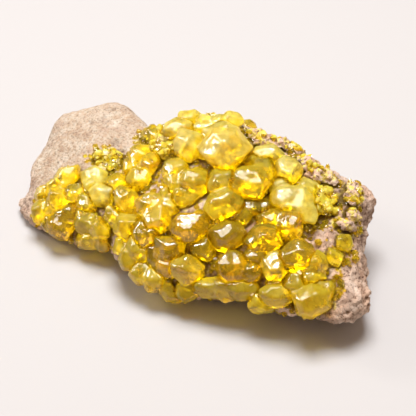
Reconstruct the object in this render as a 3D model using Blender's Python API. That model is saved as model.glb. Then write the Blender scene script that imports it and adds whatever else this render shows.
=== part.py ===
"""Native sulfur on its matrix rock: a long slab of rock with a crust of resorbed sulfur crystals.

X runs along the slab, -Y is the showing side, where most crystals grow, and Z is up. The slab stands on a
flat break at Z = 0. Tables of places and sizes are in millimetres, and MM turns them into Blender's metres.
Crystals that have grown into each other are one solid, and other neighbours stand GAP apart.
"""

import math
import random

import bmesh
import bpy
from mathutils import Matrix, Vector, noise
from mathutils.bvhtree import BVHTree

MM = 0.001
GAP = 0.35

# The slab's cross-sections from its left tip to its right tip. Each is (station along X, how far its plane
# leans along X for each millimetre of Y, outline). An outline goes round from the front rim over the top:
# rim, face, brow, crest, back shoulder, back foot, and the back and front limits of the base.
SECTIONS = [
    (-59.0, -0.14, [(-17, 3), (-15, 5), (-4, 8), (8, 12), (15, 12), (17, 6), (12, 1), (-12, 1)]),
    (-55.0, -0.14, [(-22, 2), (-20, 6), (-6, 11), (11, 18), (18, 15), (21, 6), (17, -2), (-15, -2)]),
    (-40.0, -0.08, [(-26, 4), (-25, 9), (-12, 17), (12, 23), (21, 21), (25, 9), (20, -2), (-18, -2)]),
    (-24.0, 0.0, [(-25, 5), (-24, 12), (-13, 20), (8, 22), (19, 17), (26, 9), (20, -2), (-18, -2)]),
    (-8.0, 0.0, [(-33, 6), (-30, 14), (-17, 25), (6, 33), (17, 30), (26, 11), (20, -2), (-20, -2)]),
    (9.0, 0.0, [(-35, 6), (-32, 15), (-19, 27), (6, 36), (17, 33), (26, 12), (19, -2), (-20, -2)]),
    (27.0, 0.0, [(-31, 8), (-30, 16), (-17, 25), (5, 31), (16, 27), (23, 10), (18, -2), (-17, -2)]),
    (42.0, -0.12, [(-31, 8), (-30, 15), (-17, 23), (4, 28), (14, 26), (20, 10), (15, -2), (-15, -2)]),
    (51.0, -0.32, [(-28, 9), (-26, 15), (-16, 20), (2, 24), (13, 23), (16, 11), (11, -1), (-14, -1)]),
    (56.5, -0.38, [(-20, 10), (-19, 14), (-11, 17), (1, 18), (9, 18), (11, 11), (8, 4), (-10, 4)]),
]
RINGS = 30
RING_POINTS = 30

# Local swellings and hollows of the slab: (x, y, z, reach, height).
SWELLINGS = [
    (52, 14, 23, 6, 5.0),
    (60, 0, 17, 6, -5.0),
    (-30, -26, 4, 6, 3.0),
    (-18, -27, 5, 5, -3.0),
    (36, -31, 8, 5, 2.0),
    (-44, 20, 21, 6, 1.5),
    (-28, 18, 18, 5, -1.5),
]
LUMP_SPACING, LUMP_HEIGHT = 15.0, 1.7
CHIP_SPACING, CHIP_HEIGHT, CHIP_EDGE = 6.0, 0.8, 0.4

# Each face of the specimen is laid out as it is seen from one point, EYE_DISTANCE from FACE_CENTRE.
FACE_CENTRE = Vector((5.4, -5.5, 15.0))
EYE_DISTANCE = 450.0
SIGHT_REACH = 50
SHOWING_VIEW = (math.radians(26), math.radians(40))
BACK_VIEW = (math.radians(206), math.radians(40))

# The forms of orthorhombic sulfur, as face normals: the steep pyramid, the flat pyramid, the dome and the
# base. The signs of their components give each form's other faces.
STEEP_PYRAMID = Vector((0.736, 0.598, 0.315))
FLAT_PYRAMID = Vector((0.550, 0.447, 0.706))
DOME = Vector((0.0, 0.885, 0.466))
BASE = Vector((0.0, 0.0, 1.0))
# A crystal up to SMALL_CRYSTAL across shows two of them, and one over LARGE_CRYSTAL shows all four.
SMALL_CRYSTAL, LARGE_CRYSTAL = 4.6, 8.2
# Each face lies between these shares of the distance at which it would touch the crystal's ellipsoid.
LEAST_GROWTH, MOST_GROWTH = 0.95, 1.15
# A crystal's depth, as a share of its smaller side.
CRYSTAL_DEPTH = 0.9
LOWEST_CRYSTAL = 0.4
SLIVER = 0.3

ROCK_COLOUR = (0.53, 0.37, 0.25)
SULFUR_COLOUR = (0.80, 0.56, 0.04)
ROCK_ROUGHNESS = 0.9
SULFUR_ROUGHNESS = 0.15

# The crystals, by the solids that they have grown into. Each is (across, up, width, height, turn in degrees,
# lift): its place and size in its face's layout, and the share of its half depth that it stands out by.
SHOWING_CRYSTALS = {
    "crown_crystals": [
        (5.5, 18, 12.5, 12, 10, 0.55),
        (4.5, 22.5, 11, 7, 0, 0.55),
        (-5.5, 19, 8.5, 9.5, 80, 0.6),
        (-0.5, 17.5, 10, 7, 0, -0.2),
    ],
    "crown_top_crystals": [
        (-5, 26.5, 8, 7.5, 0, 0.3),
        (-0.5, 26, 5.5, 5.5, 0, 0.15),
        (3.5, 26, 6, 5, 0, 0.2),
        (7.5, 26.5, 6.5, 5.5, 0, 0.25),
        (1.5, 24.5, 12, 5, 0, -0.3),
    ],
    "bright_crystals": [
        (13, 7.5, 11, 10, 0, 0.55),
        (16.5, 11, 7.5, 7.5, 0, 0.5),
        (13.5, 15, 4.5, 4.5, 0, 0.25),
    ],
    "wedge_crystals": [
        (5, 1, 11.5, 8, 18, 0.5),
        (4.5, 7.5, 9, 8.5, 0, 0.45),
    ],
    "shoulder_crystals": [
        (-3.5, 8, 7.5, 10, 80, 0.5),
        (-10, 11.5, 8.5, 6.5, 0, 0.45),
        (-9, 7.5, 8.5, 6.5, 0, 0.4),
        (-7, 3, 7.5, 5, 0, 0.2),
    ],
    "pale_crystals": [
        (26.5, 2, 12.5, 8.5, -8, 0.5),
        (22.5, 6.5, 6.5, 5, 0, 0.4),
        (30.5, 5.5, 7.5, 6, 0, 0.35),
        (29, -2, 8, 6.5, 0, 0.3),
    ],
    "saddle_crystals": [
        (18.5, 16, 9.5, 6.5, 0, 0.4),
        (24.5, 11, 8, 8, 0, 0.4),
    ],
    "centre_crystal": [
        (6, -8.5, 10, 8.5, 0, 0.45),
    ],
    "inner_left_crystals": [
        (-5.5, -6, 10.5, 8.5, 0, 0.4),
        (-1.5, -4, 6, 6.5, 0, 0.3),
    ],
    "lower_centre_crystals": [
        (17.5, -10, 10, 8.5, 0, 0.4),
        (15.5, -15, 8.5, 5.5, 0, 0.2),
    ],
    "egg_crystals": [
        (-6, -19, 7.5, 10, 80, 0.55),
        (-6, -25.5, 7.5, 5.5, 0, 0.2),
    ],
    "front_dome_crystals": [
        (7.5, -18, 9.5, 8.5, 0, 0.5),
        (13.5, -19.5, 6.5, 6.5, 0, 0.15),
    ],
    "right_dome_crystal": [
        (27.5, -15, 8.5, 10, 80, 0.45),
    ],
    "right_corner_crystals": [
        (32, -28.5, 10.5, 9, 0, 0.35),
        (27, -23.5, 6.5, 6.5, 0, 0.15),
        (35.5, -25.5, 6.5, 5.5, 0, 0.2),
    ],
    "pentagon_crystals": [
        (20.5, -18, 7.5, 8, 0, 0.4),
        (21.5, -26.5, 6.5, 10, 85, 0.35),
    ],
    "right_pair_crystals": [
        (32.5, -17.5, 8.5, 8, 0, 0.4),
        (32, -22.5, 8, 6, 0, 0.25),
    ],
    "tilted_crystals": [
        (-11.5, -12.5, 8.5, 7.5, 0, 0.4),
        (-14.5, -16, 9, 5.5, -45, 0.2),
        (-11.5, -18, 7.5, 6.5, 0, 0.15),
    ],
    "amber_crystals": [
        (-17, 0.5, 7, 9.5, 80, 0.5),
        (-15.5, -3.5, 8, 7.5, 0, 0.35),
        (-11.5, 4, 6.5, 5.5, 0, 0.35),
        (-11, 0.5, 6.5, 5, 0, 0.2),
    ],
    "pale_egg_crystals": [
        (-35, 9.5, 8.5, 6, 5, 0.5),
        (-32, 3.5, 8.5, 6.5, -25, 0.35),
        (-34.5, 6.5, 8, 6, 0, 0.1),
    ],
    "upper_left_crystals": [
        (-20, 15.5, 7.5, 8.5, 60, 0.35),
        (-23, 12.5, 6.5, 7, 0, 0.3),
        (-20.5, 8.5, 8, 7, 0, 0.4),
        (-17.5, 12.5, 7.5, 7.5, 0, 0.15),
    ],
    "dark_glassy_crystal": [
        (-1, -13, 8.5, 6.5, -20, 0.15),
    ],
    "inner_right_crystals": [
        (20, -4, 8.5, 6.5, 0, 0.3),
        (25, -6, 8, 8.5, 0, 0.3),
    ],
    "striped_crystals": [
        (9.5, -2, 8, 5.5, -30, 0.15),
        (15, 0, 9.5, 5, 0, 0.2),
    ],
    "front_rim_crystals": [
        (1, -24.5, 9, 6.5, 0, 0.35),
        (5.5, -24.5, 6.5, 7.5, 0, 0.3),
        (11, -24.5, 10, 6.5, 0, 0.4),
    ],
    "rim_spur_crystal": [
        (16.5, -29.5, 5.5, 7.5, 70, 0.2),
    ],
    "honey_crystal": [
        (-18.5, -7.5, 8, 8.5, 70, 0.4),
    ],
    "amber_slab_crystals": [
        (-24.5, 1.5, 10.5, 7, -55, 0.4),
        (-27.5, 6.5, 8.5, 7.5, 0, 0.2),
    ],
    "streak_crystals": [
        (-28, -4, 10.5, 4.5, -58, 0.3),
        (-24, -6, 8, 8, 0, 0.3),
    ],
    "left_wing_crystals": [
        (-43, 9, 8, 8, 0, 0.35),
        (-47, 6, 5.5, 6, 0, 0.25),
        (-50, 3.5, 6.5, 6, 0, 0.3),
        (-45.5, 3, 7.5, 6.5, 0, 0.35),
        (-46.5, -0.5, 9, 4.5, 0, 0.25),
        (-51, -1.5, 6.5, 6.5, 30, 0.3),
    ],
    "left_hanging_crystals": [
        (-45, -5.5, 7.5, 8.5, 70, 0.3),
        (-41.5, -2, 6.5, 7, 0, 0.2),
        (-48.5, -4.5, 5.5, 5.5, 0, 0.15),
    ],
    "left_glassy_crystals": [
        (-40, 3.5, 6.5, 7.5, 70, 0.2),
        (-36.5, 1, 6.5, 6, 0, 0.2),
    ],
    "left_toe_crystals": [
        (-37.5, -4, 8, 6.5, 0, 0.3),
        (-33, -6.5, 7.5, 6.5, 0, 0.35),
        (-36.5, -9.5, 7.5, 6.5, 0, 0.2),
        (-32, -10.5, 5.5, 5.5, 0, 0.2),
    ],
    "upper_fringe_crystals": [
        (-25.5, -11.5, 6.5, 6.5, 0, 0.25),
        (-20.5, -12.5, 7, 7.5, 60, 0.3),
        (-23, -16, 8, 6, 0, 0.15),
    ],
    "fringe_crystals": [
        (-20, -20, 7, 6.5, 0, 0.2),
        (-16, -22.5, 7.5, 6.5, 0, 0.3),
        (-11.5, -25.5, 8, 6, -40, 0.3),
        (-8.5, -28.5, 4.5, 4.5, 0, 0.0),
    ],
    "left_saddle_crystal": [
        (-16.5, 21.5, 8, 6.5, -40, 0.15),
    ],
    "crown_crust": [
        (-14, 18, 6.5, 7.5, 0, 0.1),
        (-11.5, 17.5, 6.5, 7, 80, 0.25),
        (-12.5, 20.5, 8, 7.5, 0, 0.15),
    ],
    "left_crest_crystal": [
        (-13, 24, 6.5, 5, 0, 0.1),
    ],
    "ridge_crust": [
        (15, 22, 5.5, 5, 0, 0.15),
        (17, 20, 5.5, 4, 0, 0.2),
        (19, 20.5, 5.5, 4.5, 0, 0.2),
        (22, 19, 5, 4, 0, 0.1),
    ],
    "right_ridge_crust": [
        (29.5, 14, 5.5, 4.5, 0, 0.15),
        (32, 12.5, 6.5, 4.5, -40, 0.15),
        (34.5, 10.5, 6.5, 5, -40, 0.2),
        (37.5, 8.5, 5.5, 4.5, -30, 0.15),
        (33, 9.5, 6.5, 4.5, -40, 0.1),
    ],
    "right_face_crust": [
        (35.5, 3.5, 8.5, 7, 0, 0.1),
        (35, -0.5, 7.5, 5.5, 0, 0.05),
        (33, 1.5, 6, 5.5, 0, 0.15),
    ],
    "slab_edge_crust": [
        (-32.5, 15.5, 6, 5, 0, 0.1),
        (-28.5, 15, 6, 5, 0, 0.1),
        (-30.5, 12.5, 6, 4.5, 0, 0.15),
    ],
    "ledge_crystal": [
        (39, -15.5, 4.5, 4.5, 0, 0.2),
    ],
    "gully_crystal": [
        (42, -11, 4.5, 5, 0, 0.2),
    ],
    "knob_crust": [
        (45, 5.5, 5.5, 5, 0, 0.1),
        (44, 3, 5.5, 5, 0, 0.05),
    ],
    "gully_crust": [
        (42.5, -6, 4.5, 6.5, 70, 0.1),
        (44.5, -2.5, 5, 4.5, 0, 0.1),
    ],
}
BACK_CRYSTALS = {
    "back_crest_crystals": [
        (9, 4, 10, 8, 15, 0.35),
        (15, 2, 8.5, 8, 0, 0.3),
    ],
    "back_slope_crystals": [
        (-12, -10, 8.5, 8, 20, 0.35),
        (-6.5, -13, 8, 8.5, -30, 0.3),
        (-11, -16, 7.5, 7, 0, 0.25),
    ],
    "back_slope_crust": [
        (-28, 2, 6, 5.5, 30, 0.15),
        (-24, 0, 6, 5.5, 0, 0.15),
        (-26, -4, 5.5, 5.5, 0, 0.1),
    ],
    "back_pocket_crystals": [
        (-36, -12, 8, 7, 0, 0.3),
        (-31, -14, 7.5, 7, 40, 0.3),
        (-34, -17, 6.5, 6.5, 0, 0.2),
    ],
}


def between(a, b, c, d, share):
    """The point of the Catmull-Rom curve through a, b, c and d, this share of the way from b to c."""
    return 0.5 * (
        2 * b
        + (c - a) * share
        + (2 * a - 5 * b + 4 * c - d) * share**2
        + (3 * b - a - 3 * c + d) * share**3
    )


def on_open_curve(points, place):
    """The point at place, from 0 to 1, on the smooth curve through the points."""
    last = len(points) - 1
    first = min(int(place * last), last - 1)
    a, b, c, d = (points[max(0, min(last, first + step))] for step in (-1, 0, 1, 2))
    return between(a, b, c, d, place * last - first)


def on_closed_curve(points, place):
    """The point at place, from 0 to 1, on the smooth closed curve through the points."""
    first = int(place * len(points))
    a, b, c, d = (points[(first + step) % len(points)] for step in (-1, 0, 1, 2))
    return between(a, b, c, d, place * len(points) - first)


def section_outline(place):
    """The slab's outline in space at this place, from 0 to 1, along its length."""
    rails = []
    for number in range(len(SECTIONS[0][2])):
        rail = [
            Vector((station + lean * outline[number][0], *outline[number]))
            for station, lean, outline in SECTIONS
        ]
        rails.append(on_open_curve(rail, place))
    return [on_closed_curve(rails, number / RING_POINTS) for number in range(RING_POINTS)]


def roughness_at(point):
    """How far broken rock stands out at this point: its lumps, chipped faces and swellings."""
    height = LUMP_HEIGHT * noise.noise(point / LUMP_SPACING)
    distances, _ = noise.voronoi(point / CHIP_SPACING)
    height += CHIP_HEIGHT * (distances[1] - distances[0] - CHIP_EDGE)
    for x, y, z, reach, swelling in SWELLINGS:
        away = (point - Vector((x, y, z))).length / reach
        height += swelling * math.exp(-away * away)
    return height


def move_out(mesh, distance_at):
    """Moves each vertex out along its normal, by the distance that distance_at gives for its place."""
    mesh.normal_update()
    moves = [(vertex, vertex.normal * distance_at(vertex.co)) for vertex in mesh.verts]
    for vertex, move in moves:
        vertex.co += move


def cut_away(mesh, point, normal):
    """Cuts off what lies past the plane through point, on the side that its normal points to."""
    everything = mesh.verts[:] + mesh.edges[:] + mesh.faces[:]
    bmesh.ops.bisect_plane(
        mesh, geom=everything, dist=1e-5, plane_co=point, plane_no=normal, clear_outer=True
    )
    bmesh.ops.holes_fill(mesh, edges=mesh.edges)


def rock_mesh():
    """The slab: rings through its sections, roughened, and cut flat where it stands."""
    mesh = bmesh.new()
    rings = [
        [mesh.verts.new(point) for point in section_outline(number / (RINGS - 1))]
        for number in range(RINGS)
    ]
    for near, far in zip(rings, rings[1:]):
        for number in range(RING_POINTS):
            after = (number + 1) % RING_POINTS
            mesh.faces.new((near[number], far[number], far[after], near[after]))
    for ring in (rings[0], rings[-1]):
        middle = mesh.verts.new(sum((vertex.co for vertex in ring), Vector()) / RING_POINTS)
        for number in range(RING_POINTS):
            mesh.faces.new((ring[number], ring[(number + 1) % RING_POINTS], middle))
    bmesh.ops.recalc_face_normals(mesh, faces=mesh.faces)
    move_out(mesh, roughness_at)
    cut_away(mesh, Vector(), Vector((0, 0, -1)))
    bmesh.ops.triangulate(mesh, faces=[face for face in mesh.faces if len(face.verts) == 4])
    bmesh.ops.recalc_face_normals(mesh, faces=mesh.faces)
    return mesh


def layout_axes(view):
    """Right, up and towards the eye for the face that is seen at this azimuth and elevation."""
    azimuth, elevation = view
    right = Vector((math.cos(azimuth), math.sin(azimuth), 0))
    level = Vector((math.sin(azimuth), -math.cos(azimuth), 0)) * math.cos(elevation)
    towards = level + Vector((0, 0, math.sin(elevation)))
    return right, towards.cross(right), towards


def place_on_rock(rock_tree, view, across, up):
    """Where the line of sight at this place of the layout meets the rock, or passes nearest to it."""
    right, upward, towards = layout_axes(view)
    eye = FACE_CENTRE + towards * EYE_DISTANCE
    seen = FACE_CENTRE + right * across + upward * up
    sight = (seen - eye).normalized()
    hit = rock_tree.ray_cast(eye, sight)[0]
    if hit:
        return hit
    passing = [seen + sight * step for step in range(-SIGHT_REACH, SIGHT_REACH)]
    return min((rock_tree.find_nearest(point) for point in passing), key=lambda found: found[3])[0]


def face_normals(size):
    """The normals of a crystal's faces. Smaller crystals show fewer forms."""
    forms = [STEEP_PYRAMID, BASE]
    if size > SMALL_CRYSTAL:
        forms.append(DOME)
    if size > LARGE_CRYSTAL:
        forms.append(FLAT_PYRAMID)
    signs = [Vector((x, y, z)) for x in (-1, 1) for y in (-1, 1) for z in (-1, 1)]
    normals = {tuple(form * sign + Vector()) for form in forms for sign in signs}
    return [Vector(normal) for normal in sorted(normals)]


class Crystal:
    """A resorbed crystal: its centre, and the planes of its faces as (normal, distance from centre).

    No corner of it is farther than its reach from its centre.
    """

    def __init__(self, name, rock_tree, view, across, up, width, height, turn, lift):
        dice = random.Random(name)
        half = Vector((width, height, CRYSTAL_DEPTH * min(width, height))) / 2
        axes = Matrix(layout_axes(view)).transposed() @ Matrix.Rotation(math.radians(turn), 3, "Z")
        self.centre = place_on_rock(rock_tree, view, across, up) + axes.col[2] * lift * half.z
        self.reach = 2 * max(half)
        self.faces = []
        lattice = Matrix.Rotation(dice.uniform(0, math.pi), 3, "X")
        lattice = lattice @ Matrix.Rotation(dice.uniform(0, math.pi), 3, "Z")
        for normal in face_normals(max(width, height)):
            normal = lattice @ normal
            spread = Vector([part * size for part, size in zip(normal, half)]).length
            growth = dice.uniform(LEAST_GROWTH, MOST_GROWTH)
            self.faces.append((axes @ normal, spread * growth))

    def mesh(self, margin=0.0):
        """The crystal's solid, with each of its faces moved out by the margin."""
        mesh = bmesh.new()
        bmesh.ops.create_cube(mesh, size=3 * self.reach)
        bmesh.ops.translate(mesh, verts=mesh.verts, vec=self.centre)
        for normal, distance in self.faces:
            cut_away(mesh, self.centre + normal * (distance + margin), normal)
        cut_away(mesh, Vector((0, 0, LOWEST_CRYSTAL - margin)), Vector((0, 0, -1)))
        return mesh

    def is_near(self, other):
        return (self.centre - other.centre).length < self.reach + other.reach


def material(name, colour, roughness):
    made = bpy.data.materials.new(name)
    made.use_nodes = True
    shader = made.node_tree.nodes["Principled BSDF"]
    shader.inputs["Base Color"].default_value = (*colour, 1)
    shader.inputs["Roughness"].default_value = roughness
    shader.inputs["Metallic"].default_value = 0
    return made


def new_object(name, mesh, collection=None):
    """An object made of this bmesh, in millimetres, which it uses up."""
    data = bpy.data.meshes.new(name)
    mesh.to_mesh(data)
    mesh.free()
    made = bpy.data.objects.new(name, data)
    (collection or bpy.context.scene.collection).objects.link(made)
    return made


def combine(target, meshes, operation):
    """The bmesh that a Boolean of the target object with all these meshes gives."""
    cutters = bpy.data.collections.new("cutters")
    bpy.context.scene.collection.children.link(cutters)
    for mesh in meshes:
        new_object("cutter", mesh, cutters)
    boolean = target.modifiers.new("combine", "BOOLEAN")
    boolean.operation = operation
    boolean.operand_type = "COLLECTION"
    boolean.collection = cutters
    evaluated = target.evaluated_get(bpy.context.evaluated_depsgraph_get())
    result = bmesh.new()
    result.from_mesh(evaluated.to_mesh())
    for cutter in list(cutters.objects):
        bpy.data.objects.remove(cutter)
    bpy.data.collections.remove(cutters)
    bpy.data.objects.remove(target)
    return result


def keep_largest_body(mesh):
    """Deletes the crumbs that a cut leaves beside the main body."""
    bodies = []
    unseen = set(mesh.verts)
    while unseen:
        body = [unseen.pop()]
        for vertex in body:
            joined = {edge.other_vert(vertex) for edge in vertex.link_edges} & unseen
            unseen -= joined
            body.extend(joined)
        bodies.append(body)
    bodies.sort(key=len)
    crumbs = [vertex for body in bodies[:-1] for vertex in body]
    bmesh.ops.delete(mesh, geom=crumbs, context="VERTS")


def is_sliver(edge):
    """Whether the edge is short, and both its ends can become one point of a surface that stays closed."""
    first, second = [{each.other_vert(end) for each in end.link_edges} for end in edge.verts]
    return edge.calc_length() < SLIVER and len(first & second) == 2


def collapse_slivers(mesh):
    bmesh.ops.triangulate(mesh, faces=mesh.faces)
    sliver = next(filter(is_sliver, mesh.edges), None)
    while sliver:
        bmesh.ops.collapse(mesh, edges=[sliver])
        sliver = next(filter(is_sliver, mesh.edges), None)


def crystal_group(name, crystals, neighbours, grown_rock):
    """Crystals grown into one solid, clear of the rock and of the neighbours that came before them."""
    first, *others = [crystal.mesh() for crystal in crystals]
    joined = combine(new_object(name, first), others, "UNION") if others else first
    near = [each for each in neighbours if any(each.is_near(crystal) for crystal in crystals)]
    cutters = [each.mesh(GAP) for each in near] + [grown_rock.copy()]
    cut = combine(new_object(name, joined), cutters, "DIFFERENCE")
    keep_largest_body(cut)
    collapse_slivers(cut)
    return new_object(name, cut)


def centre_on_origin(objects):
    """Moves the meshes so that the whole stands centred over the origin, and turns them into metres."""
    points = [vertex.co for each in objects for vertex in each.data.vertices]
    low = Vector([min(point[axis] for point in points) for axis in range(3)])
    high = Vector([max(point[axis] for point in points) for axis in range(3)])
    middle = Vector(((low.x + high.x) / 2, (low.y + high.y) / 2, low.z))
    for each in objects:
        each.data.transform(Matrix.Scale(MM, 4) @ Matrix.Translation(-middle))


def build():
    for old in list(bpy.data.objects):
        bpy.data.objects.remove(old)
    mesh = rock_mesh()
    rock_tree = BVHTree.FromBMesh(mesh)
    grown_rock = mesh.copy()
    move_out(grown_rock, lambda point: GAP)
    rock = new_object("matrix_rock", mesh)
    rock.data.materials.append(material("matrix_rock", ROCK_COLOUR, ROCK_ROUGHNESS))
    objects = [rock]
    crystals = []
    for view, layout in ((SHOWING_VIEW, SHOWING_CRYSTALS), (BACK_VIEW, BACK_CRYSTALS)):
        for name, places in layout.items():
            members = [
                Crystal(f"{name} {number}", rock_tree, view, *place)
                for number, place in enumerate(places)
            ]
            group = crystal_group(name, members, crystals, grown_rock)
            group.data.materials.append(material(name, SULFUR_COLOUR, SULFUR_ROUGHNESS))
            objects.append(group)
            crystals += members
    grown_rock.free()
    centre_on_origin(objects)


build()
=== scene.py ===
"""Native sulfur on its matrix rock: the finish of the rock and of the crystals that grow on it.

X runs along the slab, -Y is the showing side, where most crystals grow, and Z is up. Lengths are in
millimetres, and MM turns them into Blender's metres.
"""

import math
import random

import bmesh
import bpy
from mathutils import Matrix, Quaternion, Vector, noise
from mathutils.bvhtree import BVHTree


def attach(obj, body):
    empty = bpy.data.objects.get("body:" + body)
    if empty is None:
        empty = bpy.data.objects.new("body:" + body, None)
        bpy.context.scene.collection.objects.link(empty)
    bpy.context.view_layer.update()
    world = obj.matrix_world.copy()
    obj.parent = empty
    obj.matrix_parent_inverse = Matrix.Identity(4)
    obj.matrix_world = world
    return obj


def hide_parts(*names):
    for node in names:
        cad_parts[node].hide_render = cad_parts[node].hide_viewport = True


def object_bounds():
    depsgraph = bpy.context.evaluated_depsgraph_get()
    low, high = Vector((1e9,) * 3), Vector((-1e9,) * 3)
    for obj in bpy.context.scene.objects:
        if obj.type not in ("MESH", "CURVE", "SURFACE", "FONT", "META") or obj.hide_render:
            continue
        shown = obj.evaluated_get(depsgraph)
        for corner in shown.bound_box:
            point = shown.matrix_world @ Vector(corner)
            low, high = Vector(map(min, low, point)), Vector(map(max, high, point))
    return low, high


MM = 0.001

ROCK_NODE = "matrix_rock"
VIEW_AZIMUTH = math.radians(26)
VIEW_ELEVATION = math.radians(40)
VIEW_DISTANCE = 450
VIEW_TARGET = Vector((3.5, 0.0, 15.0))
VIEW_LENS = 126

# Crystals are clear in the recesses, clouded and pale on the crest, and bright between the two. This is partly
# their own clouding and partly painted shade, as the deep tints of the groups in the recesses and lower rows
# are darker.
CLEAR = (
    "centre",
    "inner",
    "striped",
    "dark",
    "lower",
    "tilted",
    "honey",
    "front_dome",
    "right_dome",
    "left_hanging",
)
PALE = ("crown", "pale", "saddle", "back_crest", "ridge")

# Crusts that are mostly sulfur. The others are mostly rock.
YELLOW_CRUSTS = ("slab_edge_crust", "right_face_crust", "crown_crust")
CRUST_MARKS = {"broken": 1, "stain": 0.55}

# The size of the remeshed faces, in millimetres, and how many passes round their edges off.
ROCK_VOXEL = 0.55
ROCK_ROUNDING = 3
CRYSTAL_VOXEL = 0.34
CRYSTAL_ROUNDING = 6

# How far a crystal swells, and how much room is left between neighbours, in millimetres.
CRYSTAL_SWELLING = 0.15
NEIGHBOUR_GAP = 0.1

# A small crystal from its root to its tip: the height and the width there, as shares of its size.
GRAIN_OUTLINE = ((-0.35, 0.85), (0.25, 1.0), (0.75, 0.6), (1.0, 0.15))

# How far, in millimetres, and in which directions about the surface, a spot is tested for neighbours.
OPEN_REACH = 5.0
OPEN_RAYS = [
    Vector((math.sin(tilt) * math.cos(turn), math.sin(tilt) * math.sin(turn), math.cos(tilt)))
    for tilt, count in ((math.radians(32), 3), (math.radians(66), 5))
    for turn in [math.tau * step / count + tilt for step in range(count)]
]

# Hollows and swellings of the rock: where, how wide, how deep (or high, if less than 0), how dark.
HOLLOWS = (
    ((-42.7, 17.7, 22.8), 1.6, 0.5, 0.35),
    ((-46.0, 15.0, 21.8), 1.1, 0.4, 0.7),
    ((-41.5, 22.0, 22.5), 1.3, 0.6, 0.8),
    ((-33.9, 9.0, 21.5), 2.6, 1.0, 0.4),
    ((-30.0, 6.5, 21.5), 1.6, 0.7, 0.6),
    ((-41.0, 25.5, 21.8), 6.0, -1.6, 0.0),
    ((-34.0, 24.0, 20.5), 8.0, -2.0, 0.0),
    ((-27.0, 22.0, 21.0), 8.0, -2.2, 0.0),
    ((40.8, -8.4, 24.8), 2.6, 1.6, 1.0),
    ((43.5, 7.5, 26.8), 2.4, 1.6, 1.0),
    ((47.0, 7.0, 26.0), 1.6, 1.0, 0.8),
    ((52.0, 5.6, 17.0), 3.6, 2.2, 1.0),
    ((50.8, -1.0, 21.0), 2.4, 1.2, 0.6),
    ((54.6, -18.0, 14.0), 2.0, 0.8, 0.6),
    ((51.4, -24.7, 13.0), 2.6, 1.2, 1.0),
    ((22.1, 17.0, 31.5), 2.0, 0.9, 0.8),
)

# Rock: from the darkest patches to the palest, on the slab, at the broken end and where sulfur stains it.
SLAB_SHADES = ((0.32, (0.50, 0.36, 0.26)), (0.5, (0.61, 0.49, 0.37)), (0.68, (0.70, 0.61, 0.50)))
BROKEN_SHADES = ((0.3, (0.42, 0.26, 0.18)), (0.48, (0.74, 0.50, 0.36)), (0.66, (0.95, 0.74, 0.60)))
STAIN_SHADES = ((0.35, (0.62, 0.44, 0.05)), (0.6, (0.95, 0.78, 0.14)))
SPECKLE_SHADES = ((0.38, (0.20, 0.13, 0.09)), (0.47, (0.92, 0.9, 0.88)), (0.62, (1.0, 1.0, 1.0)))
FLECK_BROWN = (0.50, 0.32, 0.20)
DUST_BEIGE = (0.63, 0.52, 0.43)
PIT_BROWN = (0.13, 0.065, 0.035)
# Painted shade: the dark brown of the rock in the gaps next to the crystals.
GAP_SHADE_BROWN = (0.12, 0.065, 0.015)
# The rock inside the crystals: the sulfur's yellow at their roots, made brighter as painted light that stands
# in for light shining down through them.
ROOT_SULFUR_AND_LIGHT = (1.0, 0.88, 0.36)

# Sulfur: the tints of its clouding (deep between the crystals, darkened there as painted shade; on their faces;
# and in veils, paled where the crystals stand open as painted light), how clouded it is, how much light a
# millimetre takes, how rough its skin is, and how much the clouded part shines.
SULFUR_INDEX = 1.65
SULFUR_SKIN = (1.0, 0.9, 0.1, 1)
SULFUR_INSIDE = (0.98, 0.91, 0.01, 1)
SULFUR_FINISHES = {
    "clear_sulfur": {
        "tints": ((0.52, 0.25, 0.0), (1.0, 0.70, 0.0), (1.0, 0.82, 0.02)),
        "clouding": 0.18,
        "absorption": 0.5,
        "roughness": 0.01,
        "sheen": 0.05,
    },
    "bright_sulfur": {
        "tints": ((0.62, 0.31, 0.0), (1.0, 0.72, 0.0), (1.0, 0.84, 0.04)),
        "clouding": 0.31,
        "absorption": 0.4,
        "roughness": 0.01,
        "sheen": 0.1,
    },
    "pale_sulfur": {
        "tints": ((0.82, 0.46, 0.0), (1.0, 0.76, 0.02), (1.0, 0.90, 0.18)),
        "clouding": 0.48,
        "absorption": 0.3,
        "roughness": 0.02,
        "sheen": 0.4,
    },
    "sulfur_grains": {
        "tints": ((0.9, 0.5, 0.0), (1.0, 0.74, 0.0), (1.0, 0.90, 0.08)),
        "clouding": 0.65,
        "absorption": 0.3,
        "roughness": 0.04,
        "sheen": 0.3,
    },
}

# The studio's light on matt surfaces, what is added where it shines through, and what reflections lack.
STUDIO_COLOUR = (1.0, 0.79, 0.62, 1)
STUDIO_LIGHT = 0.4
SHINING_THROUGH = 1.1
LESS_MIRRORED = 0.3
FLOOR_COLOUR = (0.50, 0.478, 0.469, 1)
FLOOR_HALF_SIDE = 1.5
WHITE = (1.0, 1.0, 1.0)


# ---------------------------------------------------------------- shader arithmetic


class Signal:
    """A socket's value, so that shader maths reads as arithmetic."""

    def __init__(self, recipe, socket):
        self.recipe = recipe
        self.socket = socket

    def maths(self, operation, first, second):
        return self.recipe.node("ShaderNodeMath", {"operation": operation}, {0: first, 1: second})

    def __add__(self, other):
        return self.maths("ADD", self, other)

    def __sub__(self, other):
        return self.maths("SUBTRACT", self, other)

    def __rsub__(self, other):
        return self.maths("SUBTRACT", other, self)

    def __mul__(self, other):
        return self.maths("MULTIPLY", self, other)

    __radd__ = __add__
    __rmul__ = __mul__


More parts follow.
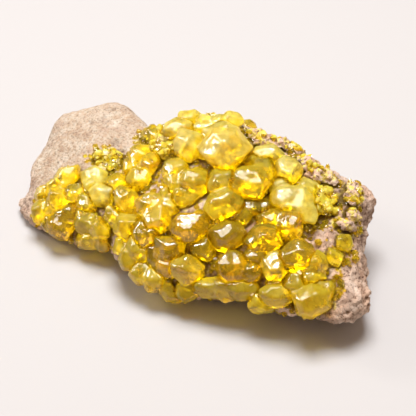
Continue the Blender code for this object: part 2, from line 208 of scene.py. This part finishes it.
class Recipe:
    """The node tree of a material, or of the studio round it, and the one way in which nodes are added."""

    def __init__(self, name, world=False):
        self.owner = (bpy.data.worlds if world else bpy.data.materials).new(name)
        self.owner.use_nodes = True
        self.tree = self.owner.node_tree
        self.tree.nodes.clear()

    def node(self, kind, settings=None, sockets=None, output=0):
        made = self.tree.nodes.new(kind)
        for name, value in (settings or {}).items():
            if name == "stops":
                self.set_stops(made.color_ramp, value)
            else:
                setattr(made, name, value)
        for key, value in (sockets or {}).items():
            if isinstance(value, Signal):
                self.tree.links.new(value.socket, made.inputs[key])
            else:
                made.inputs[key].default_value = value
        return Signal(self, made.outputs[output])

    def set_stops(self, ramp, stops):
        for position, _ in stops[2:]:
            ramp.elements.new(position)
        for element, (position, value) in zip(ramp.elements, sorted(stops)):
            element.position = position
            element.color = (*value, 1) if isinstance(value, tuple) else (value, value, value, 1)

    def place(self):
        return self.node("ShaderNodeTexCoord", output="Object")

    def noise(self, place, spacing, detail=3.0, roughness=0.55):
        """Soft noise from 0 to 1, whose lumps are about this many millimetres apart."""
        sockets = {"Vector": place, "Scale": 1 / (spacing * MM), "Detail": detail, "Roughness": roughness}
        return self.node("ShaderNodeTexNoise", {}, sockets)

    def crumbs(self, place, spacing):
        """The distance to the middles of crumbs about this many millimetres apart."""
        sockets = {"Vector": place, "Scale": 1 / (spacing * MM)}
        return self.node("ShaderNodeTexVoronoi", {}, sockets, "Distance")

    def ramp(self, value, *stops):
        return self.node("ShaderNodeValToRGB", {"stops": list(stops)}, {"Fac": value})

    def attribute(self, name):
        return self.node("ShaderNodeAttribute", {"attribute_name": name}, output="Fac")

    def mixed(self, share, first, second, blend="MIX"):
        """The first colour, passing into the second by this share."""
        settings = {"data_type": "RGBA", "blend_type": blend}
        first, second = [(*each, 1) if isinstance(each, tuple) else each for each in (first, second)]
        return self.node("ShaderNodeMix", settings, {0: share, 6: first, 7: second}, output=2)

    def bump(self, height, strength, distance):
        sockets = {"Height": height, "Strength": strength, "Distance": distance * MM}
        return self.node("ShaderNodeBump", {}, sockets)

    def finish(self, surface, volume=None, output="ShaderNodeOutputMaterial"):
        sockets = {"Surface": surface}
        if volume:
            sockets["Volume"] = volume
        last = self.tree.nodes.new(output)
        for name, value in sockets.items():
            self.tree.links.new(value.socket, last.inputs[name])
        return self.owner


# ---------------------------------------------------------------- materials


def rock_material():
    """Altered rock: granular beige on the slab, taupe and pitted at the broken end, and stained by sulfur, with
    painted shade in the gaps next to the crystals and painted light, over the sulfur's yellow, where it lies
    inside them.
    """
    recipe = Recipe("matrix_rock")
    place = recipe.place()
    broken = recipe.attribute("broken")
    patches = recipe.noise(place, 4.0, detail=5)
    drifts = recipe.noise(place, 12.0, detail=3)
    grain = recipe.noise(place, 0.8, detail=6, roughness=0.7)
    flecks = recipe.noise(place, 1.5, detail=4, roughness=0.7)
    crumbs = recipe.crumbs(place, 1.1)

    flecked = recipe.ramp(flecks, (0.46, 0.0), (0.58, 0.65))
    slab = recipe.mixed(flecked, recipe.ramp(patches, *SLAB_SHADES), FLECK_BROWN)
    colour = recipe.mixed(broken, slab, recipe.ramp(patches, *BROKEN_SHADES))
    colour = recipe.mixed(recipe.ramp(drifts, (0.48, 0.0), (0.68, 0.5)), colour, DUST_BEIGE)
    colour = recipe.mixed(recipe.attribute("pit") * 0.8, colour, PIT_BROWN)

    stain_edge = recipe.noise(place, 2.0, detail=4) + 0.3 * (0.5 - crumbs)
    stain = recipe.ramp(recipe.attribute("stain") + (stain_edge - 0.5) * 1.1, (0.5, 0.0), (0.68, 0.9))
    colour = recipe.mixed(stain, colour, recipe.ramp(patches, *STAIN_SHADES))
    speckled = 0.6 + 0.35 * broken
    colour = recipe.mixed(speckled, colour, recipe.ramp(grain, *SPECKLE_SHADES), "MULTIPLY")

    # Painted shade: the rock turns dark brown in the gaps next to the crystals, most where it is closed in.
    shaded = recipe.attribute("crevice") * recipe.ramp(recipe.attribute("open"), (0.55, 0.92), (0.85, 0.15))
    colour = recipe.mixed(shaded, colour, GAP_SHADE_BROWN)
    # Partly painted light: the rock inside the crystals takes the sulfur's yellow, brightened to stand in for
    # light shining through them.
    colour = recipe.mixed(recipe.attribute("root"), colour, ROOT_SULFUR_AND_LIGHT)
    normal = recipe.bump(grain * 0.7 + (1 - crumbs) * 0.3, 1.0, 0.9)
    surface = recipe.node(
        "ShaderNodeBsdfPrincipled",
        {},
        {"Base Color": colour, "Roughness": 0.92, "Specular IOR Level": 0.3, "Normal": normal},
    )
    return recipe.finish(surface)


def sulfur_material(name, tints, clouding, absorption, roughness, sheen):
    """Sulfur: a clear, strongly refracting crystal that takes the blue out of the light.

    It is clouded where the crystals stand open, and hardly at all deep between them. The clouding and its tint
    both follow how open each spot is: painted shade deep between the crystals, and painted light where they
    stand open.
    """
    recipe = Recipe(name)
    place = recipe.place()
    waves = recipe.noise(place, 1.6, detail=3)
    normal = recipe.bump(waves, 0.22, 0.4)
    skin = recipe.ramp(recipe.noise(place, 4.0), (0.35, roughness), (0.7, roughness + 0.03))
    clear = recipe.node(
        "ShaderNodeBsdfPrincipled",
        {},
        {
            "Base Color": SULFUR_SKIN,
            "Roughness": skin,
            "IOR": SULFUR_INDEX,
            "Transmission Weight": 1.0,
            "Normal": normal,
        },
    )
    wisps = recipe.noise(place, 2.6, detail=4)
    clouds = recipe.noise(place, 6.5, detail=2)
    open_share = recipe.attribute("open")
    # Painted shade and light: the clouding is tinted dark deep between the crystals and pale where they stand
    # open, with wisps of veil.
    deep, face, veil_and_light = tints
    body = recipe.ramp(open_share + wisps - 0.5, (0.2, deep), (0.7, face), (1.0, veil_and_light))
    clouded = recipe.node(
        "ShaderNodeBsdfPrincipled",
        {},
        {
            "Base Color": body,
            "Roughness": 0.5,
            "IOR": SULFUR_INDEX,
            "Specular IOR Level": sheen,
            "Transmission Weight": 0.35,
            "Normal": normal,
        },
    )
    veils = recipe.ramp(0.5 * wisps + 0.5 * clouds, (0.38, 0.7), (0.62, 1.3))
    # Painted shade: with less clouding deep between the crystals, they stay clear and dark there.
    share = recipe.ramp(open_share, (0.35, clouding * 0.15), (0.85, clouding)) * veils
    surface = recipe.node("ShaderNodeMixShader", {}, {0: share, 1: clear, 2: clouded})
    taken = {"Color": SULFUR_INSIDE, "Density": absorption / MM}
    return recipe.finish(surface, recipe.node("ShaderNodeVolumeAbsorption", {}, taken))


# ---------------------------------------------------------------- shapes


def new_piece(name, mesh, material, slot, *nodes):
    """A finished piece made of this bmesh, which it uses up, in place of the nodes."""
    data = bpy.data.meshes.new(name)
    mesh.to_mesh(data)
    mesh.free()
    data.shade_smooth()
    data.materials.append(material)
    piece = bpy.data.objects.new(name, data)
    bpy.context.scene.collection.objects.link(piece)
    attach(piece, "root")
    if nodes:
        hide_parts(*nodes)
    return piece


def merged_copy(node):
    """A bmesh of the node's solid, in metres, with its triangles joined."""
    mesh = bmesh.new()
    mesh.from_mesh(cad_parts[node].data)
    bmesh.ops.remove_doubles(mesh, verts=mesh.verts, dist=1e-7)
    return mesh


def steps(value, low, high):
    """0 at low and 1 at high, with an even slope between them."""
    return min(1, max(0, (value - low) / (high - low)))


def broken_share(point):
    """How far the rock at this point, in millimetres, belongs to the rough broken end."""
    return max(steps(point.x, 4, 26), steps(-point.y, 6, 16) * 0.8, 1 - steps(point.z, 4, 10))


def rock_relief(point, broken):
    """The height and the pit share of the rock's surface at this point, in millimetres."""
    height = (0.3 + 0.7 * broken) * 1.4 * noise.fractal(point / 9.0, 0.75, 2.1, 4)
    height += (0.12 + 0.5 * broken) * noise.fractal(point / 2.4, 0.6, 2.2, 4)

    # Worn layers, which show as grooves at the broken end.
    along = point.x * 0.2 + point.z * 1.1 - point.y * 0.35 + 2.0 * noise.noise(point / 8)
    layering = abs(math.sin(along * 1.5)) * steps(noise.noise(point / 9.5), -0.3, 0.2)
    height -= broken * 0.55 * (1 - layering) ** 3

    # Small pits, in patches.
    distances, _ = noise.voronoi(point / 2.1)
    pit = (1 - steps(distances[0], 0.12, 0.42)) * steps(noise.noise(point / 4.0), 0.0, 0.3)
    height -= (0.15 + 0.95 * broken) * pit
    pit = max(pit * (0.25 + 0.5 * broken), broken * 0.5 * (1 - layering) ** 4)

    for place, width, depth, dark in HOLLOWS:
        share = 1 - steps((point - Vector(place)).length / width, 0.2, 1.0)
        share = share * share * (3 - 2 * share)
        height -= share * depth
        pit = max(pit, share * dark)
    return height, pit


def surface_tree(*nodes):
    """A tree of the faces of these nodes' solids."""
    together = bmesh.new()
    for node in nodes:
        together.from_mesh(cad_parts[node].data)
    tree = BVHTree.FromBMesh(together)
    together.free()
    return tree


def depth_in_crystals(place, outward):
    """How many millimetres this place lies inside a crystal, or less than 0 outside one."""
    distance = crystals.find_nearest(place)[3] / MM
    leaving = crystals.ray_cast(place, outward)[1]
    return distance if leaving and leaving.dot(outward) > 0 else -distance


def mark_openness(mesh):
    """Give every corner an "open" value: 0 deep between the crystals and 1 where nothing is near."""
    layer = mesh.verts.layers.float.new("open")
    mesh.normal_update()
    for vertex in mesh.verts:
        start = vertex.co + vertex.normal * 0.5 * MM
        turn = vertex.normal.to_track_quat("Z", "Y")
        free = 0
        for ray in OPEN_RAYS:
            hit = solids.ray_cast(start, turn @ ray, OPEN_REACH * MM)[3]
            free += 1 if hit is None else hit / (OPEN_REACH * MM)
        vertex[layer] = free / len(OPEN_RAYS)


def remeshed(mesh, voxel, rounding):
    """This bmesh, which it uses up, with even faces of this size and its edges rounded by so many passes."""
    source = bpy.data.objects.new("source", bpy.data.meshes.new("source"))
    mesh.to_mesh(source.data)
    mesh.free()
    bpy.context.scene.collection.objects.link(source)
    remesh = source.modifiers.new("remesh", "REMESH")
    remesh.mode = "VOXEL"
    remesh.voxel_size = voxel * MM
    evaluated = source.evaluated_get(bpy.context.evaluated_depsgraph_get())
    result = bmesh.new()
    result.from_mesh(evaluated.to_mesh())
    bpy.data.objects.remove(source)
    for _ in range(rounding):
        bmesh.ops.smooth_vert(
            result, verts=result.verts, factor=0.5, use_axis_x=True, use_axis_y=True, use_axis_z=True
        )
    result.normal_update()
    return result


def keep_in_box(mesh):
    """Hold the mesh inside the CAD model's box."""
    for vertex in mesh.verts:
        vertex.co = Vector([min(max(c, low), high) for c, low, high in zip(vertex.co, cad_low, cad_high)])


def rock_shape():
    """The rock, roughened, pitted, sunk below the crystals, and flat where it stands."""
    mesh = remeshed(merged_copy(ROCK_NODE), ROCK_VOXEL, ROCK_ROUNDING)
    layers = {name: mesh.verts.layers.float.new(name) for name in ("broken", "pit", "stain", "crevice", "root")}
    moves = []
    for vertex in mesh.verts:
        point = vertex.co / MM
        depth = depth_in_crystals(vertex.co, vertex.normal)
        broken = broken_share(point)
        height, pit = rock_relief(point, broken)
        near = steps(depth, -2.5, 0.0)
        height = height * (1 - 0.7 * near) - 0.3 * near
        vertex[layers["broken"]] = broken
        vertex[layers["pit"]] = pit * (1 - near)
        vertex[layers["stain"]] = steps(depth, -2.8, 0.8)
        # Painted shade: how far the rock lies in a gap next to the crystals.
        vertex[layers["crevice"]] = steps(depth, -2.4, -0.4)
        # Partly painted light: how far the rock lies inside a crystal, where it takes the brightened yellow of
        # the roots.
        vertex[layers["root"]] = steps(depth, -0.1, 0.5)
        moves.append(vertex.normal * height * MM * steps(point.z, 0.05, 1.0))
    for vertex, move in zip(mesh.verts, moves):
        vertex.co += move
    keep_in_box(mesh)
    mark_openness(mesh)
    return mesh


def crystal_shape(node):
    """The node's crystals, resorbed: rounded, with gently waved faces that swell towards their neighbours.

    A crust is crumbled instead, and is marked as broken rock that sulfur stains in part.
    """
    crust = node.endswith("crust")
    mesh = remeshed(merged_copy(node), CRYSTAL_VOXEL, CRYSTAL_ROUNDING)
    neighbours = surface_tree(*[other for other in crystal_nodes if other != node])
    marks = [(mesh.verts.layers.float.new(name), share) for name, share in CRUST_MARKS.items() if crust]
    moves = []
    for vertex in mesh.verts:
        point = vertex.co / MM
        if crust:
            height = -0.3 + 0.8 * noise.fractal(point / 2.4, 0.7, 2.1, 4)
        else:
            height = CRYSTAL_SWELLING + 0.35 * noise.noise(point / 3.2) + 0.08 * noise.noise(point / 1.3)
        for layer, share in marks:
            vertex[layer] = share
        room = neighbours.find_nearest(vertex.co)[3] / MM - NEIGHBOUR_GAP
        moves.append(vertex.normal * MM * min(height, room / 2))
    for vertex, move in zip(mesh.verts, moves):
        vertex.co += move
    keep_in_box(mesh)
    mark_openness(mesh)
    return mesh


def add_grain(mesh, scrap, place, outward, size, chance):
    """One small blunt crystal, leaning a little off the surface, made in the scrap mesh."""
    lean = Vector([chance.uniform(-0.6, 0.6) for _ in range(3)])
    turn = (outward + lean).to_track_quat("Z", "Y") @ Quaternion((0, 0, 1), chance.uniform(0, math.pi))
    wide, deep = size * chance.uniform(0.42, 0.6), size * chance.uniform(0.34, 0.5)
    tall = size * chance.uniform(0.45, 0.7)
    corners = []
    for level, share in GRAIN_OUTLINE:
        for step in range(4):
            angle = math.tau * (step + chance.uniform(-0.12, 0.12)) / 4
            corners.append((wide * share * math.cos(angle), deep * share * math.sin(angle), tall * level))
    grain = bmesh.new()
    for corner in corners:
        grain.verts.new(place + turn @ Vector(corner) * MM)
    spare = bmesh.ops.convex_hull(grain, input=grain.verts)["geom_interior"]
    bmesh.ops.delete(grain, geom=spare, context="VERTS")
    bmesh.ops.recalc_face_normals(grain, faces=grain.faces)
    grain.to_mesh(scrap)
    grain.free()
    mesh.from_mesh(scrap)


def grain_piece(name, ground, zone, material, slot, seed):
    """Small crystals seeded over the ground's faces, as thick and as large as the zone says for each face."""
    chance = random.Random(seed)
    mesh = bmesh.new()
    scrap = bpy.data.meshes.new("scrap")
    for face in ground.faces:
        middle = face.calc_center_median()
        density, least, most = zone(face, middle)
        if chance.random() < density * face.calc_area() / MM**2:
            add_grain(mesh, scrap, middle, face.normal, chance.uniform(least, most), chance)
    bpy.data.meshes.remove(scrap)
    keep_in_box(mesh)
    mark_openness(mesh)
    piece = new_piece(name, mesh, material, slot)
    piece.data.shade_flat()
    return piece


def bed_zone(face, middle):
    """Between the larger crystals the rock is covered by smaller ones, in patches."""
    depth = depth_in_crystals(middle, face.normal)
    patch = steps(noise.noise(middle / MM / 5), -0.35, 0.25)
    return (0.5 * patch if -3.2 < depth < -0.35 and middle.z > 4 * MM else 0), 0.8, 2.6


def crust_zone(face, middle):
    """The crust's crystals stand in patches, with rock between them."""
    patch = steps(noise.noise(middle / MM / 4.5), -0.15, 0.2)
    return 0.22 * patch, 1.2, 3.2


def flank_zone(face, middle):
    """A few small crystals have grown on the flanks of the larger ones, down in the gaps."""
    openness = sum(vertex[open_layer] for vertex in face.verts) / len(face.verts)
    return (0.05 if 0.38 < openness < 0.62 else 0), 1.0, 2.6


# ---------------------------------------------------------------- the stage


def make_camera():
    azimuth, elevation = VIEW_AZIMUTH, VIEW_ELEVATION
    level = Vector((math.sin(azimuth), -math.cos(azimuth), 0)) * math.cos(elevation)
    towards = level + Vector((0, 0, math.sin(elevation)))
    camera = bpy.data.objects.new("camera", bpy.data.cameras.new("camera"))
    camera.data.sensor_width = 36
    camera.data.lens = VIEW_LENS
    camera.data.clip_start = 10 * MM
    camera.location = (VIEW_TARGET + towards * VIEW_DISTANCE) * MM
    camera.rotation_mode = "QUATERNION"
    camera.rotation_quaternion = (-towards).to_track_quat("-Z", "Y")
    bpy.context.scene.collection.objects.link(camera)
    bpy.context.scene.camera = camera


def area_light(name, place, size, power, colour, matt=True, mirrored=True):
    """A soft lamp that faces the table, and lights matt surfaces, shows its reflection, or both."""
    lamp = bpy.data.lights.new(name, "AREA")
    lamp.shape = "RECTANGLE"
    lamp.size, lamp.size_y = [side * MM for side in size]
    lamp.energy = power
    lamp.color = colour
    light = bpy.data.objects.new(name, lamp)
    light.location = Vector(place) * MM
    light.rotation_mode = "QUATERNION"
    light.rotation_quaternion = (-Vector(place)).to_track_quat("-Z", "Y")
    light.visible_diffuse = light.visible_transmission = matt
    light.visible_glossy = mirrored
    bpy.context.scene.collection.objects.link(light)


def make_floor():
    mesh = bmesh.new()
    bmesh.ops.create_grid(mesh, x_segments=1, y_segments=1, size=FLOOR_HALF_SIDE)
    data = bpy.data.meshes.new("floor")
    mesh.to_mesh(data)
    mesh.free()
    recipe = Recipe("floor")
    matt = {"Base Color": FLOOR_COLOUR, "Roughness": 0.8}
    data.materials.append(recipe.finish(recipe.node("ShaderNodeBsdfPrincipled", {}, matt)))
    floor = bpy.data.objects.new("floor", data)
    bpy.context.scene.collection.objects.link(floor)


def make_world():
    """The studio round the table: dim on matt surfaces and in reflections, bright where it shines through."""
    recipe = Recipe("studio", world=True)
    through = recipe.node("ShaderNodeLightPath", output="Is Transmission Ray")
    mirrored = recipe.node("ShaderNodeLightPath", output="Is Glossy Ray")
    strength = STUDIO_LIGHT + SHINING_THROUGH * through - LESS_MIRRORED * mirrored
    light = recipe.node("ShaderNodeBackground", {}, {"Color": STUDIO_COLOUR, "Strength": strength})
    bpy.context.scene.world = recipe.finish(light, output="ShaderNodeOutputWorld")


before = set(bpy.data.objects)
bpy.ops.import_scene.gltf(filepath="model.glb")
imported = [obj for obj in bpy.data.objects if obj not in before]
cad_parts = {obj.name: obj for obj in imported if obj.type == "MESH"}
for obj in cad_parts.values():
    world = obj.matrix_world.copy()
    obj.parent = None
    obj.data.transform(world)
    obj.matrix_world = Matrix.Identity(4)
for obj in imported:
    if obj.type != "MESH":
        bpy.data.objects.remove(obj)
cad_low, cad_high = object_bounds()

make_camera()
make_floor()
make_world()
area_light("overhead_softbox", (-60, 110, 900), (420, 420), 12.2, (0.98, 1.0, 1.03), mirrored=False)
area_light("window", (-190, -80, 860), (520, 520), 8.0, WHITE, matt=False)
area_light("front_window_lamp", (-690, -240, 545), (260, 260), 6.5, WHITE, matt=False)
area_light("back_window_lamp", (-230, 110, 850), (120, 120), 3.5, WHITE, matt=False)
area_light("side_lamp", (-900, -60, 560), (220, 220), 2.2, (1.0, 0.98, 0.95))
bpy.context.scene.view_settings.view_transform = "Standard"

finishes = {name: sulfur_material(name, **values) for name, values in SULFUR_FINISHES.items()}
stone = rock_material()
crystal_nodes = sorted(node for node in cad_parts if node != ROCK_NODE)
crystals = surface_tree(*crystal_nodes)
solids = surface_tree(*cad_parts)
rock = rock_shape()
crusts, bodies = bmesh.new(), bmesh.new()
for node in crystal_nodes:
    shape = crystal_shape(node)
    if node.endswith("crust"):
        finish = finishes["sulfur_grains"] if node in YELLOW_CRUSTS else stone
        crusts.from_mesh(new_piece(f"granular_{node}", shape, finish, "crust", node).data)
    else:
        kind = "clear" if node.startswith(CLEAR) else "pale" if node.startswith(PALE) else "bright"
        bodies.from_mesh(new_piece(f"resorbed_{node}", shape, finishes[f"{kind}_sulfur"], "sulfur", node).data)
open_layer = bodies.verts.layers.float["open"]

grain_piece("flank_crystals", bodies, flank_zone, finishes["clear_sulfur"], "sulfur", seed=17)
bodies.free()
grain_piece("bed_crystals", rock, bed_zone, finishes["clear_sulfur"], "sulfur", seed=5)
grain_piece("crust_crystals", crusts, crust_zone, finishes["sulfur_grains"], "sulfur", seed=11)
crusts.free()
new_piece("weathered_rock", rock, stone, "rock", ROCK_NODE)
